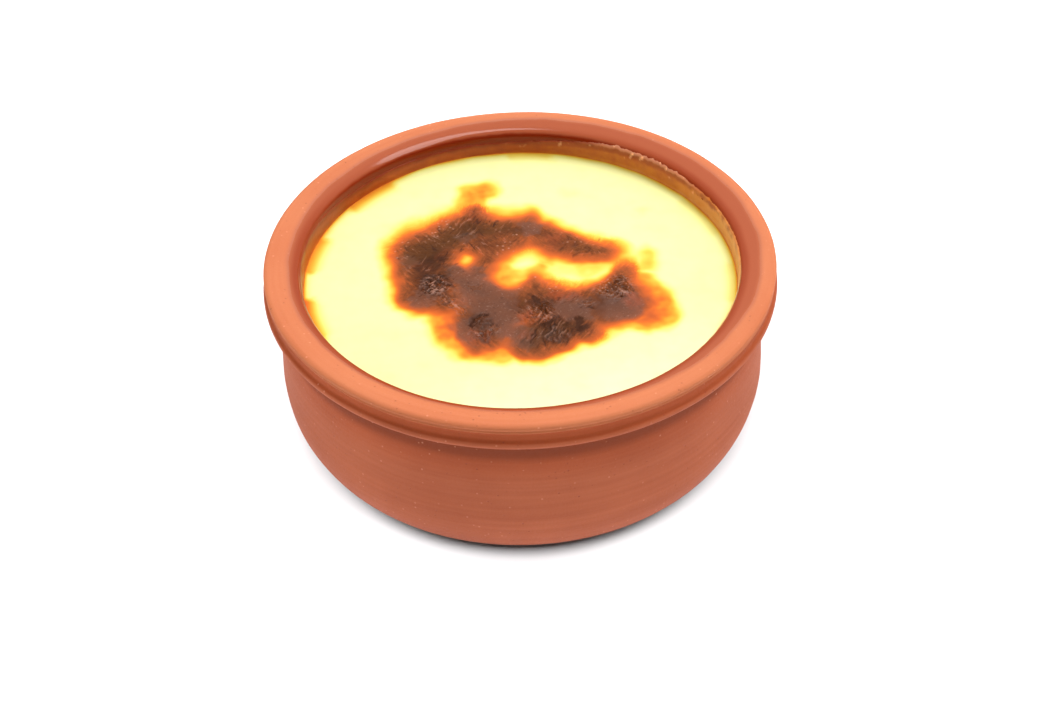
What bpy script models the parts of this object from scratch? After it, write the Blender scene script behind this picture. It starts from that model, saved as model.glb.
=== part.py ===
"""Baked rice pudding in its clay bowl.

The bowl is one turned solid of terracotta: a flat foot, a round belly, a neck, and a collar
with a bead under it. The pudding is a second turned solid that fills it to just below the
collar's throat, with a low uneven skin on top where it was scorched.

Metres, +Z up. The origin is the centre of the underside of the bowl.
"""

import math

import bmesh
import bpy

MM = 0.001

# Bowl, outside
OUTER_RADIUS = 60.0 * MM
HEIGHT = 46.3 * MM
FOOT_RADIUS = 44.5 * MM
BELLY_RADIUS = 57.2 * MM
BELLY_HEIGHT = 18.4 * MM
NECK_RADIUS = 56.6 * MM
NECK_HEIGHT = 38.4 * MM

# Collar, from its flat top down to the bead, which is the widest place
TOP_FACE_OUTER = 57.7 * MM
EDGE_RADIUS = 59.6 * MM
EDGE_DROP = 0.8 * MM
BAND_RECESS = 0.4 * MM
CREASE_FALL = 0.6 * MM
BEAD_RADIUS = 0.9 * MM
BEAD_HEIGHT = 41.1 * MM
UNDERCUT_RADIUS = 57.5 * MM
UNDERCUT_HEIGHT = 39.4 * MM

# Bowl, inside
LIP_RADIUS = 54.9 * MM
THROAT_RADIUS = 51.2 * MM
THROAT_HEIGHT = 43.7 * MM
WALL_RADIUS_TOP = 50.9 * MM
WALL_RADIUS_LOW = 50.5 * MM
WALL_CURVE_HEIGHT = 20.0 * MM
FLOOR_THICKNESS = 6.0 * MM
FLOOR_RADIUS = 34.0 * MM

# Pudding
PUDDING_LEVEL = 39.3 * MM
MENISCUS_RISE = 0.4 * MM
MENISCUS_WIDTH = 2.0 * MM
GAP = 0.3 * MM
SKIN_RINGS = 13

# Swellings of the scorched skin: (x, y) of the centre, half width, height
SKIN_SWELLINGS = (
    ((-20.0 * MM, 8.0 * MM), 11.0 * MM, 0.5 * MM),
    ((-6.0 * MM, 20.0 * MM), 9.0 * MM, 0.4 * MM),
    ((4.0 * MM, -15.0 * MM), 13.0 * MM, 0.6 * MM),
    ((22.0 * MM, -5.0 * MM), 8.0 * MM, 0.5 * MM),
)

# Points along each curved stretch of the sections
FLOOR_POINTS = 8
LIP_POINTS = 6
EDGE_POINTS = 4
BEAD_POINTS = 6
BELLY_POINTS = 5
FOOT_POINTS = 10
PUDDING_CORNER_POINTS = 7

TURN_STEPS = 72
MERGE_DISTANCE = 0.00001
SHARP_ANGLE = math.radians(40.0)

CLAY_COLOUR = (0.56, 0.16, 0.075, 1.0)
CLAY_ROUGHNESS = 0.72
PUDDING_COLOUR = (1.0, 0.93, 0.52, 1.0)
PUDDING_ROUGHNESS = 0.38


def clear_scene():
    """Remove every object that the file opened with."""
    for old in list(bpy.data.objects):
        bpy.data.objects.remove(old, do_unlink=True)


def make_material(name, colour, roughness):
    """Return a non-metallic Principled material."""
    material = bpy.data.materials.new(name)
    material.use_nodes = True
    shader = material.node_tree.nodes["Principled BSDF"]
    shader.inputs["Base Color"].default_value = colour
    shader.inputs["Roughness"].default_value = roughness
    shader.inputs["Metallic"].default_value = 0.0
    return material


def arc(centre, radii, start_deg, end_deg, count):
    """Return count points along an elliptic arc, both ends included."""
    points = []
    for index in range(count):
        angle = math.radians(start_deg + (end_deg - start_deg) * index / (count - 1))
        points.append((centre[0] + radii[0] * math.cos(angle), centre[1] + radii[1] * math.sin(angle)))
    return points


def hollow_curve(shrink, count):
    """Return the rounded corner from the floor to the wall, drawn in by shrink."""
    radii = (WALL_RADIUS_LOW - shrink - FLOOR_RADIUS, WALL_CURVE_HEIGHT - FLOOR_THICKNESS - shrink)
    return arc((FLOOR_RADIUS, WALL_CURVE_HEIGHT), radii, -90.0, 0.0, count)


def belly_side(count):
    """Return the easy curve from the neck down to the widest part of the belly."""
    points = []
    for index in range(count):
        share = index / (count - 1)
        ease = 0.5 - 0.5 * math.cos(math.pi * share)
        radius = NECK_RADIUS + (BELLY_RADIUS - NECK_RADIUS) * ease
        points.append((radius, NECK_HEIGHT + (BELLY_HEIGHT - NECK_HEIGHT) * share))
    return points


def collar_outside():
    """Return the collar's outer side: rounded edge, recessed band, bead and undercut."""
    crease_height = HEIGHT - EDGE_DROP
    band_radius = EDGE_RADIUS - BAND_RECESS
    edge_radii = (EDGE_RADIUS - TOP_FACE_OUTER, EDGE_DROP)
    edge = arc((TOP_FACE_OUTER, crease_height), edge_radii, 90.0, 0.0, EDGE_POINTS)
    band = [(band_radius, crease_height - CREASE_FALL), (band_radius, BEAD_HEIGHT + BEAD_RADIUS)]
    bead_centre = (OUTER_RADIUS - BEAD_RADIUS, BEAD_HEIGHT)
    bead = arc(bead_centre, (BEAD_RADIUS, BEAD_RADIUS), 60.0, -90.0, BEAD_POINTS)
    return edge + band + bead + [(UNDERCUT_RADIUS, UNDERCUT_HEIGHT)]


def bowl_profile():
    """Return the bowl's section: up the inside, over the lip and down the outside."""
    inside = [(0.0, FLOOR_THICKNESS)] + hollow_curve(0.0, FLOOR_POINTS) + [(WALL_RADIUS_TOP, PUDDING_LEVEL)]
    lip_radii = (LIP_RADIUS - THROAT_RADIUS, HEIGHT - THROAT_HEIGHT)
    lip = arc((LIP_RADIUS, THROAT_HEIGHT), lip_radii, 180.0, 90.0, LIP_POINTS)
    foot_radii = (BELLY_RADIUS - FOOT_RADIUS, BELLY_HEIGHT)
    foot = arc((FOOT_RADIUS, BELLY_HEIGHT), foot_radii, 0.0, -90.0, FOOT_POINTS)
    return inside + lip + collar_outside() + belly_side(BELLY_POINTS) + foot[1:] + [(0.0, 0.0)]


def pudding_profile():
    """Return the pudding's section: out along its top, down the wall and in along the floor."""
    edge = WALL_RADIUS_TOP - GAP
    top = [(edge * index / SKIN_RINGS, PUDDING_LEVEL) for index in range(SKIN_RINGS)]
    rim = [(edge - MENISCUS_WIDTH, PUDDING_LEVEL), (edge, PUDDING_LEVEL + MENISCUS_RISE)]
    side = list(reversed(hollow_curve(GAP, PUDDING_CORNER_POINTS)))
    return top + rim + side + [(0.0, FLOOR_THICKNESS + GAP)]


def turn(name, profile, material, collection):
    """Turn a section about Z and return it as an object with a Screw modifier."""
    mesh = bpy.data.meshes.new(name)
    edges = [(index, index + 1) for index in range(len(profile) - 1)]
    mesh.from_pydata([(radius, 0.0, height) for radius, height in profile], edges, [])
    mesh.materials.append(material)
    turned = bpy.data.objects.new(name, mesh)
    collection.objects.link(turned)
    screw = turned.modifiers.new("turning", "SCREW")
    screw.axis = "Z"
    screw.angle = 2.0 * math.pi
    screw.steps = TURN_STEPS
    screw.render_steps = TURN_STEPS
    screw.use_merge_vertices = True
    screw.merge_threshold = MERGE_DISTANCE
    screw.use_smooth_shade = True
    return turned


def skin_rise(x, y):
    """Return how far the scorched skin stands above the level of the pudding."""
    rise = 0.0
    for (centre_x, centre_y), half_width, height in SKIN_SWELLINGS:
        distance = math.hypot(x - centre_x, y - centre_y) / half_width
        rise = max(rise, height * math.exp(-distance * distance))
    return rise


def raise_skin(pudding):
    """Make the turned pudding a plain mesh and lift its top to the scorched skin."""
    depsgraph = bpy.context.evaluated_depsgraph_get()
    mesh = bpy.data.meshes.new_from_object(pudding.evaluated_get(depsgraph))
    pudding.modifiers.clear()
    pudding.data = mesh
    skin_edge = WALL_RADIUS_TOP - GAP - MENISCUS_WIDTH
    shape = bmesh.new()
    shape.from_mesh(mesh)
    for vertex in shape.verts:
        on_top = abs(vertex.co.z - PUDDING_LEVEL) < MERGE_DISTANCE
        if on_top and math.hypot(vertex.co.x, vertex.co.y) < skin_edge:
            vertex.co.z += skin_rise(vertex.co.x, vertex.co.y)
    shape.to_mesh(mesh)
    shape.free()
    mesh.shade_smooth()
    mesh.set_sharp_from_angle(angle=SHARP_ANGLE)


def main():
    """Build the bowl and the pudding in it."""
    clear_scene()
    collection = bpy.data.collections.new("rice_pudding")
    bpy.context.scene.collection.children.link(collection)
    clay = make_material("terracotta", CLAY_COLOUR, CLAY_ROUGHNESS)
    baked = make_material("baked_pudding", PUDDING_COLOUR, PUDDING_ROUGHNESS)
    turn("bowl", bowl_profile(), clay, collection)
    pudding = turn("pudding", pudding_profile(), baked, collection)
    raise_skin(pudding)


main()
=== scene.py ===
"""Looks of a baked rice pudding in its clay bowl: finishes, scorched skin, studio and camera."""
import logging
import math
from dataclasses import dataclass, field
from enum import Enum
from typing import Sequence

import bpy
import numpy as np
from mathutils import Matrix, Vector


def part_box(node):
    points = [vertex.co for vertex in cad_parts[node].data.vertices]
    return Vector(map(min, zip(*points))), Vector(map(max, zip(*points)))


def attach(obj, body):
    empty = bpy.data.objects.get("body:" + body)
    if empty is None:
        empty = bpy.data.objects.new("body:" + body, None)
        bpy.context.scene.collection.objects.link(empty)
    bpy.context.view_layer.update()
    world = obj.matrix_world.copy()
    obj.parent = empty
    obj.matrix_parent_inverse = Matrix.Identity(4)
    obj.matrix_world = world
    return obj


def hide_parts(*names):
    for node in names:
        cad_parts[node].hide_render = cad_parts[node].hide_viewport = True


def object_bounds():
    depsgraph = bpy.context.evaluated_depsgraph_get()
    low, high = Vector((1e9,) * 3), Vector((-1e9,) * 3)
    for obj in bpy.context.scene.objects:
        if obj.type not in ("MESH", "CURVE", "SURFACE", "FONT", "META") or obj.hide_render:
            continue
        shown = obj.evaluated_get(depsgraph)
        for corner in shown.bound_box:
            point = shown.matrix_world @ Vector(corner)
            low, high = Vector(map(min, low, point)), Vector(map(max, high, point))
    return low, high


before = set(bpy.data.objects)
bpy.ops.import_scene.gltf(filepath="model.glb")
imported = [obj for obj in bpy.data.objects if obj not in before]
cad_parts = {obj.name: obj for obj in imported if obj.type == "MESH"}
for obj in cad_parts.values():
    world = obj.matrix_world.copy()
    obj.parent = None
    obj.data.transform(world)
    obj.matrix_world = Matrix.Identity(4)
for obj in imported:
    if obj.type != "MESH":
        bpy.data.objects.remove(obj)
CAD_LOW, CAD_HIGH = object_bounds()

LOG = logging.getLogger("rice_pudding")
MM = 0.001
BODY = "root"

# How bright a white card would look on the rim's top face, on the pudding, on the flank and on the wall
TOP_LIGHT = 2.0
SKIN_LIGHT = 1.55
FLANK_LIGHT = 0.85
WALL_LIGHT = 0.75

Array = np.ndarray
Point = tuple[float, float]
Span = tuple[float, float]
Colour = tuple[float, float, float]
Stop = tuple[float, Colour]
Socket = bpy.types.NodeSocket


# ---------------------------------------------------------------- shared sums


def linear(red: float, green: float, blue: float, light: float = 1.0) -> Colour:
    """Return the base colour that looks like a display colour under a light.

    Args:
        red: Red, from 0 to 255.
        green: Green, from 0 to 255.
        blue: Blue, from 0 to 255.
        light: How bright a white card looks under the light.

    Returns:
        The base colour in linear values.
    """
    return tuple(
        (v / 12.92 if v <= 0.04045 else ((v + 0.055) / 1.055) ** 2.4) / light
        for v in (red / 255.0, green / 255.0, blue / 255.0)
    )


def linear_stops(light: float, *rows: tuple[float, float, float, float]) -> tuple[Stop, ...]:
    """Return the stops of a colour scale from display colours seen under one light.

    Args:
        light: How bright a white card looks under the light.
        *rows: Place on the scale from 0 to 1, then red, green and blue from 0 to 255.

    Returns:
        Each place with its base colour.
    """
    return tuple((place, linear(red, green, blue, light)) for place, red, green, blue in rows)


def smoothstep(low: float, high: float, value: Array) -> Array:
    """Ease from 0 at low to 1 at high.

    Args:
        low: Value where the result starts to rise.
        high: Value where the result reaches 1; it may lie below low.
        value: Values to ease.

    Returns:
        The eased values, from 0 to 1.
    """
    share = np.clip((value - low) / (high - low), 0.0, 1.0)
    return share * share * (3.0 - 2.0 * share)


def ease(low: float, high: float, value: float) -> float:
    """Ease one number from 0 at low to 1 at high."""
    return float(smoothstep(low, high, np.array(value)))


def smooth_most(values: Sequence[Array], blend: float) -> Array:
    """Return the largest of several fields, with their seams rounded.

    Args:
        values: Fields of the same shape.
        blend: How far from a seam the rounding reaches, in the fields' own unit.

    Returns:
        One field.
    """
    stack = np.stack(values)
    peak = stack.max(axis=0)
    return peak + blend * np.log(np.exp((stack - peak) / blend).sum(axis=0))


def spread(angle: Array, centre_deg: float, half_deg: float) -> Array:
    """Return 1 over a stretch of the wall, easing to 0 at its ends.

    Args:
        angle: Angle of each point about the axis, in radians.
        centre_deg: Middle of the stretch.
        half_deg: Half the angle that the stretch covers, with its fading.

    Returns:
        The share, from 0 to 1.
    """
    away = np.abs((np.degrees(angle) - centre_deg + 180.0) % 360.0 - 180.0)
    return smoothstep(half_deg, half_deg * 0.4, away)


@dataclass(frozen=True)
class Grain:
    """Seeded smooth noise over a plane, from about -1 to 1."""

    seed: int
    table_size: int = 256

    def at(self, x: Array, y: Array) -> Array:
        """Return one layer of gradient noise with features one unit across.

        Args:
            x: First coordinate.
            y: Second coordinate.

        Returns:
            The noise at each point.
        """
        maker = np.random.RandomState(self.seed)
        order = maker.permutation(self.table_size)
        turns = maker.uniform(0.0, 2.0 * math.pi, self.table_size)
        cell_x, cell_y = np.floor(x).astype(int), np.floor(y).astype(int)
        part_x, part_y = x - cell_x, y - cell_y

        def corner(step_x: int, step_y: int) -> Array:
            """Return the slope noise of one corner of the cell.

            Args:
                step_x: 0 for the near side, 1 for the far side.
                step_y: 0 for the near side, 1 for the far side.

            Returns:
                The noise that this corner adds.
            """
            row = order[(cell_x + step_x) % self.table_size]
            turn = turns[order[(row + cell_y + step_y) % self.table_size]]
            return np.cos(turn) * (part_x - step_x) + np.sin(turn) * (part_y - step_y)

        fade_x = part_x**3 * (part_x * (part_x * 6.0 - 15.0) + 10.0)
        fade_y = part_y**3 * (part_y * (part_y * 6.0 - 15.0) + 10.0)
        near = corner(0, 0) * (1.0 - fade_x) + corner(1, 0) * fade_x
        far = corner(0, 1) * (1.0 - fade_x) + corner(1, 1) * fade_x
        return 1.5 * (near * (1.0 - fade_y) + far * fade_y)

    def layers(self, x: Array, y: Array, count: int) -> Array:
        """Return several layers of noise, each half as large and half as strong as the last.

        Args:
            x: First coordinate.
            y: Second coordinate.
            count: Number of layers.

        Returns:
            The noise at each point.
        """
        total = np.zeros_like(x)
        for layer in range(count):
            scale = 2.0**layer
            total += Grain(self.seed + layer).at(x * scale + 7.3 * layer, y * scale) / scale
        return total


def shaken(
    x: Array, y: Array, seeds: tuple[int, int], reach: float, size: float, count: int
) -> tuple[Array, Array]:
    """Return points moved about by noise, so that an outline read there comes out ragged.

    Args:
        x: First coordinate.
        y: Second coordinate.
        seeds: Seed of the moves along x, and of the moves along y.
        reach: How far the points move.
        size: Width of the noise's features.
        count: Number of layers of noise.

    Returns:
        Both coordinates of the moved points.
    """
    move_x, move_y = (reach * Grain(seed).layers(x / size, y / size, count) for seed in seeds)
    return x + move_x, y + move_y


def arc(centre: Point, radii: Point, start_deg: float, end_deg: float, count: int) -> list[Point]:
    """Return points along an elliptic arc, both ends included.

    Args:
        centre: Middle of the ellipse.
        radii: Half width and half height of the ellipse.
        start_deg: Angle of the first point.
        end_deg: Angle of the last point.
        count: Number of points.

    Returns:
        The points.
    """
    angles = np.radians(np.linspace(start_deg, end_deg, count))
    return [(centre[0] + radii[0] * math.cos(a), centre[1] + radii[1] * math.sin(a)) for a in angles]


def straight(start: Point, end: Point, count: int) -> list[Point]:
    """Return points along a straight stretch, with both ends left out.

    Args:
        start: Where the stretch starts.
        end: Where the stretch ends.
        count: Number of points.

    Returns:
        The points.
    """
    shares = np.linspace(0.0, 1.0, count + 2)[1:-1]
    return [(start[0] + (end[0] - start[0]) * s, start[1] + (end[1] - start[1]) * s) for s in shares]


def flowing(marks: Sequence[Point], per_span: int) -> list[Point]:
    """Return points along one smooth line through a few marks.

    Args:
        marks: Points that the line goes through.
        per_span: Number of points from each mark to the next.

    Returns:
        The points, both ends included.
    """
    held = np.array([marks[0], *marks, marks[-1]])
    points = []
    for index in range(1, len(held) - 2):
        before, start, end, after = held[index - 1 : index + 3]
        for share in np.arange(per_span) / per_span:
            lean_in, lean_out = (end - before) / 2.0, (after - start) / 2.0
            cube, square = share**3, share**2
            spot = (2 * cube - 3 * square + 1) * start + (3 * square - 2 * cube) * end
            spot = spot + (cube - 2 * square + share) * lean_in + (cube - square) * lean_out
            points.append((float(spot[0]), float(spot[1])))
    return points + [tuple(marks[-1])]


def make_piece(name: str, points: Array, faces: Array, fields: dict[str, Array]) -> bpy.types.Object:
    """Make a smooth-shaded piece from points, four-cornered faces and fields on its points.

    Args:
        name: Name of the piece.
        points: One row of x, y, z for each point, in metres.
        faces: One row of four point numbers for each face; a repeated number makes a triangle.
        fields: Named values on the points, which the finish reads.

    Returns:
        The new piece, linked to the scene.
    """
    mesh = bpy.data.meshes.new(name)
    rows = [tuple(dict.fromkeys(row)) for row in faces.tolist()]
    mesh.from_pydata(points.tolist(), [], rows)
    for label, values in fields.items():
        layer = mesh.attributes.new(label, "FLOAT", "POINT")
        layer.data.foreach_set("value", np.ascontiguousarray(values, dtype=np.float32))
    mesh.shade_smooth()
    mesh.validate()
    piece = bpy.data.objects.new(name, mesh)
    bpy.context.scene.collection.objects.link(piece)
    return piece


def ring_faces(first: int, second: int, count: int) -> Array:
    """Return the faces between two rings of points.

    Args:
        first: Number of the first point of one ring.
        second: Number of the first point of the other ring.
        count: Number of points in each ring.

    Returns:
        One row of four point numbers for each face.
    """
    here = np.arange(count)
    after = (here + 1) % count
    return np.stack([first + here, second + here, second + after, first + after], axis=1)


def dress(piece: bpy.types.Object, material: bpy.types.Material) -> bpy.types.Object:
    """Give a piece its finish and its place on the body.

    Args:
        piece: The piece.
        material: Its finish.

    Returns:
        The same piece.
    """
    piece.data.materials.append(material)
    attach(piece, BODY)
    return piece


# ---------------------------------------------------------------- finishes


class Board:
    """A material's nodes, with short calls that add and join them."""

    def __init__(self, name: str, specular: float = 0.5) -> None:
        """Start a material that holds only its shader and its output.

        Args:
            name: Name of the material.
            specular: How strongly the bare surface mirrors; 0.5 is common plastic or glaze.
        """
        self.material = bpy.data.materials.new(name)
        self.material.use_nodes = True
        self.tree = self.material.node_tree
        self.shader = self.tree.nodes["Principled BSDF"]
        self.shader.inputs["Specular IOR Level"].default_value = specular

    def add(self, kind: str, **settings: object) -> bpy.types.Node:
        """Add a node and set its properties.

        Args:
            kind: Blender's name for the node.
            **settings: Properties of the node.

        Returns:
            The node.
        """
        node = self.tree.nodes.new(kind)
        for label, value in settings.items():
            setattr(node, label, value)
        return node

    def feed(self, value: object, socket: Socket) -> None:
        """Link a socket into another, or set a plain value or colour on it.

        Args:
            value: A socket, a number or a colour.
            socket: The socket that takes it.
        """
        if isinstance(value, Socket):
            self.tree.links.new(value, socket)
        elif isinstance(value, tuple):
            socket.default_value = (*value, 1.0)
        else:
            socket.default_value = value

    def place(self) -> Socket:
        """Return the piece's own coordinates, in metres."""
        return self.add("ShaderNodeTexCoord").outputs["Object"]

    def read(self, label: str) -> Socket:
        """Return a named field of the mesh."""
        return self.add("ShaderNodeAttribute", attribute_name=label).outputs["Fac"]

    def sum(self, how: str, first: object, second: object = 0.0, clamp: bool = False) -> Socket:
        """Return a sum of two values.

        Args:
            how: Kind of sum, such as ADD or MULTIPLY.
            first: First value or socket.
            second: Second value or socket.
            clamp: Whether the result is held between 0 and 1.

        Returns:
            The result.
        """
        node = self.add("ShaderNodeMath", operation=how, use_clamp=clamp)
        self.feed(first, node.inputs[0])
        self.feed(second, node.inputs[1])
        return node.outputs[0]

    def product(self, *values: object) -> Socket:
        """Return all the values multiplied together.

        Args:
            *values: Values or sockets, at least two.

        Returns:
            The product.
        """
        total = values[0]
        for value in values[1:]:
            total = self.sum("MULTIPLY", total, value)
        return total

    def span(
        self, value: object, low: float, high: float, to_low: float = 0.0, to_high: float = 1.0
    ) -> Socket:
        """Return a value moved from one span to another, held at the ends.

        Args:
            value: Value or socket.
            low: Start of the old span.
            high: End of the old span.
            to_low: Start of the new span.
            to_high: End of the new span.

        Returns:
            The moved value.
        """
        node = self.add("ShaderNodeMapRange", clamp=True)
        self.feed(value, node.inputs["Value"])
        for label, number in zip(("From Min", "From Max", "To Min", "To Max"), (low, high, to_low, to_high)):
            node.inputs[label].default_value = number
        return node.outputs["Result"]

    def noise(self, place: Socket, per_metre: float, detail: float, distortion: float = 0.0) -> Socket:
        """Return soft noise.

        Args:
            place: Coordinates.
            per_metre: Number of features to the metre.
            detail: Number of finer layers.
            distortion: How far the features are twisted.

        Returns:
            The noise, from 0 to 1.
        """
        node = self.add("ShaderNodeTexNoise")
        self.feed(place, node.inputs["Vector"])
        for label, number in (("Scale", per_metre), ("Detail", detail), ("Distortion", distortion)):
            node.inputs[label].default_value = number
        return node.outputs["Fac"]

    def strands(self, place: Socket, turn_deg: float, per_metre: float, stretch: float) -> Socket:
        """Return noise drawn out into short strands along one direction.

        Args:
            place: Coordinates.
            turn_deg: Direction of the strands about the upright axis.
            per_metre: Number of strands to the metre, side by side.
            stretch: How many times longer than wide a strand is.

        Returns:
            The strands, from 0 to 1.
        """
        mapping = self.add("ShaderNodeMapping", vector_type="TEXTURE")
        self.feed(place, mapping.inputs["Vector"])
        mapping.inputs["Rotation"].default_value = (0.0, 0.0, math.radians(turn_deg))
        mapping.inputs["Scale"].default_value = (stretch, 1.0, 1.0)
        return self.noise(mapping.outputs["Vector"], per_metre, 2.0, 0.5)

    def dots(self, place: Socket, per_metre: float, reach: float) -> Socket:
        """Return 1 inside scattered dots and 0 between them.

        Args:
            place: Coordinates.
            per_metre: Number of dots to the metre.
            reach: Radius of a dot, as a share of the distance between dots.

        Returns:
            The dots.
        """
        node = self.add("ShaderNodeTexVoronoi")
        self.feed(place, node.inputs["Vector"])
        node.inputs["Scale"].default_value = per_metre
        return self.span(node.outputs["Distance"], reach * 0.5, reach, 1.0, 0.0)

    def blend(self, share: object, first: object, second: object) -> Socket:
        """Return a colour between two.

        Args:
            share: 0 for the first colour, 1 for the second.
            first: First colour or socket.
            second: Second colour or socket.

        Returns:
            The colour.
        """
        node = self.add("ShaderNodeMix", data_type="RGBA")
        self.feed(share, node.inputs[0])
        self.feed(first, node.inputs[6])
        self.feed(second, node.inputs[7])
        return node.outputs[2]

    def ramp(self, share: Socket, stops: Sequence[Stop]) -> Socket:
        """Return a colour from stops along a scale of 0 to 1.

        Args:
            share: Place on the scale.
            stops: Positions and their colours, in order.

        Returns:
            The colour.
        """
        node = self.add("ShaderNodeValToRGB")
        marks = node.color_ramp.elements
        marks[0].position, marks[0].color = stops[0][0], (*stops[0][1], 1.0)
        marks[1].position, marks[1].color = stops[-1][0], (*stops[-1][1], 1.0)
        for position, colour in stops[1:-1]:
            marks.new(position).color = (*colour, 1.0)
        self.feed(share, node.inputs["Fac"])
        return node.outputs["Color"]

    def finish(self, colour: object, roughness: object, height: object, depth: float) -> bpy.types.Material:
        """Join the colour, the roughness and the fine relief to the shader.

        Args:
            colour: Base colour.
            roughness: Roughness, from 0 to 1.
            height: Height of the fine relief, in units of depth.
            depth: Metres for one unit of height.

        Returns:
            The finished material.
        """
        self.feed(colour, self.shader.inputs["Base Color"])
        self.feed(roughness, self.shader.inputs["Roughness"])
        node = self.add("ShaderNodeBump")
        node.inputs["Strength"].default_value = 0.8
        node.inputs["Distance"].default_value = depth
        self.feed(height, node.inputs["Height"])
        self.feed(node.outputs["Normal"], self.shader.inputs["Normal"])
        return self.material


@dataclass(frozen=True)
class ClayFinish:
    """Fired terracotta, dry outside, and glazed inside where the glaze field rises to 1."""

    top_pale: Colour = linear(253, 149, 98, TOP_LIGHT)
    top_deep: Colour = linear(246, 138, 88, TOP_LIGHT)
    # Collar, belly and neck colours hold painted shade: the flank is painted darker than the top face
    # because the sides get less light
    collar_pale: Colour = linear(154, 71, 36, FLANK_LIGHT)
    collar_deep: Colour = linear(143, 64, 31, FLANK_LIGHT)
    # Belly colours, lighter and pinker than the collar's: painted sheen and light from the floor; the bead's
    # top takes them as a painted highlight
    belly_pale: Colour = linear(161, 85, 55, FLANK_LIGHT)
    belly_deep: Colour = linear(147, 74, 46, FLANK_LIGHT)
    # Painted shade under the collar's overhang
    neck: Colour = linear(116, 50, 22, FLANK_LIGHT)
    # Painted contact shadow on the lowest few millimetres of the bowl
    foot: Colour = linear(62, 28, 18, FLANK_LIGHT)
    glazed: Colour = linear(208, 108, 72, TOP_LIGHT)
    # Painted shade on the glazed lip where it rolls down into the throat
    shaded_lip: Colour = linear(190, 84, 48, TOP_LIGHT)
    # Glaze pooled in the throat, with painted shade, darkest on the back wall
    pooled_and_shaded: Colour = linear(110, 30, 8, WALL_LIGHT)
    speck_dark: Colour = linear(110, 52, 36, FLANK_LIGHT)
    speck_light: Colour = linear(206, 136, 106, FLANK_LIGHT)
    specular: float = 0.22
    dry_roughness: float = 0.74
    roughness_sway: float = 0.08
    glaze_roughness: float = 0.07
    relief_depth: float = 0.10 * MM
    # How many times longer than wide the marks of the wheel are
    wheel_stretch: float = 34.0
    # Features to the metre
    wheel_scale: float = 26.0
    cloud_scale: float = 40.0
    grit_scale: float = 1900.0
    patch_scale: float = 120.0
    # Dots to the metre, and the reach of a dot
    pit_dots: Span = (560.0, 0.16)
    fleck_dots: Span = (430.0, 0.13)

    def wheel_marks(self, board: Board, place: Socket) -> Socket:
        """Return soft marks drawn out along the turning, by radius and height.

        Args:
            board: The material's nodes.
            place: Coordinates.

        Returns:
            The marks, from 0 to 1.
        """
        parts = board.add("ShaderNodeSeparateXYZ")
        board.feed(place, parts.inputs[0])
        across = board.product(parts.outputs["X"], parts.outputs["X"])
        along = board.product(parts.outputs["Y"], parts.outputs["Y"])
        radius = board.sum("SQRT", board.sum("ADD", across, along))
        rise = board.sum("MULTIPLY", board.sum("SUBTRACT", parts.outputs["Z"], radius), self.wheel_stretch)
        ringed = board.add("ShaderNodeCombineXYZ")
        board.feed(parts.outputs["X"], ringed.inputs["X"])
        board.feed(parts.outputs["Y"], ringed.inputs["Y"])
        board.feed(rise, ringed.inputs["Z"])
        return board.noise(ringed.outputs["Vector"], self.wheel_scale, 5.0)

    def build(self) -> bpy.types.Material:
        """Make the clay.

        Returns:
            The material.
        """
        board = Board("fired_clay", self.specular)
        place = board.place()
        marks = self.wheel_marks(board, place)
        cloud = board.noise(place, self.cloud_scale, 3.0)
        grit = board.noise(place, self.grit_scale, 3.0)
        mixed = board.sum("ADD", board.product(marks, 0.45), board.product(cloud, 0.55))
        tone = board.span(mixed, 0.36, 0.64)
        top = board.blend(tone, self.top_deep, self.top_pale)
        collar = board.blend(tone, self.collar_deep, self.collar_pale)
        # Painted sheen on the lower belly and painted highlight on the bead, through the belly field
        belly = board.blend(tone, self.belly_deep, self.belly_pale)
        # Painted shade: the neck field darkens the clay just under the collar
        flank = board.blend(board.read("neck"), board.blend(board.read("belly"), collar, belly), self.neck)
        # Painted shade: the flank field swaps the lighter top-face colour for the darker flank colours
        dry = board.blend(board.read("flank"), top, flank)
        # Painted shadow: the foot field darkens the bottom of the belly where it meets the floor
        dry = board.blend(board.product(board.read("foot"), 0.85), dry, self.foot)
        patchy = board.span(board.noise(place, self.patch_scale, 2.0), 0.46, 0.60)
        pits = board.product(board.dots(place, *self.pit_dots), patchy)
        flecks = board.product(board.dots(place, *self.fleck_dots), board.span(patchy, 1.0, 0.0))
        dry = board.blend(board.product(pits, 0.45), dry, self.speck_dark)
        dry = board.blend(board.product(flecks, 0.35), dry, self.speck_light)
        glaze = board.read("glaze")
        coloured = board.blend(glaze, dry, self.glazed)
        # Painted shade where the lip rolls into the throat, weaker at the back-left
        coloured = board.blend(board.read("shaded_lip"), coloured, self.shaded_lip)
        # Glaze pool and painted shade in the throat, strongest on the back wall
        coloured = board.blend(board.read("pooled_and_shaded"), coloured, self.pooled_and_shaded)
        least, most = self.dry_roughness - self.roughness_sway, self.dry_roughness + self.roughness_sway
        dry_rough = board.span(grit, 0.3, 0.7, least, most)
        slick = board.product(board.sum("SUBTRACT", dry_rough, self.glaze_roughness), glaze)
        rough = board.sum("SUBTRACT", dry_rough, slick)
        height = board.sum("ADD", board.product(marks, 0.5), board.product(grit, 0.45))
        height = board.sum("SUBTRACT", height, board.product(pits, 0.9))
        height = board.product(height, board.span(glaze, 0.0, 1.0, 1.0, 0.08))
        return board.finish(coloured, rough, height, self.relief_depth)


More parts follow.
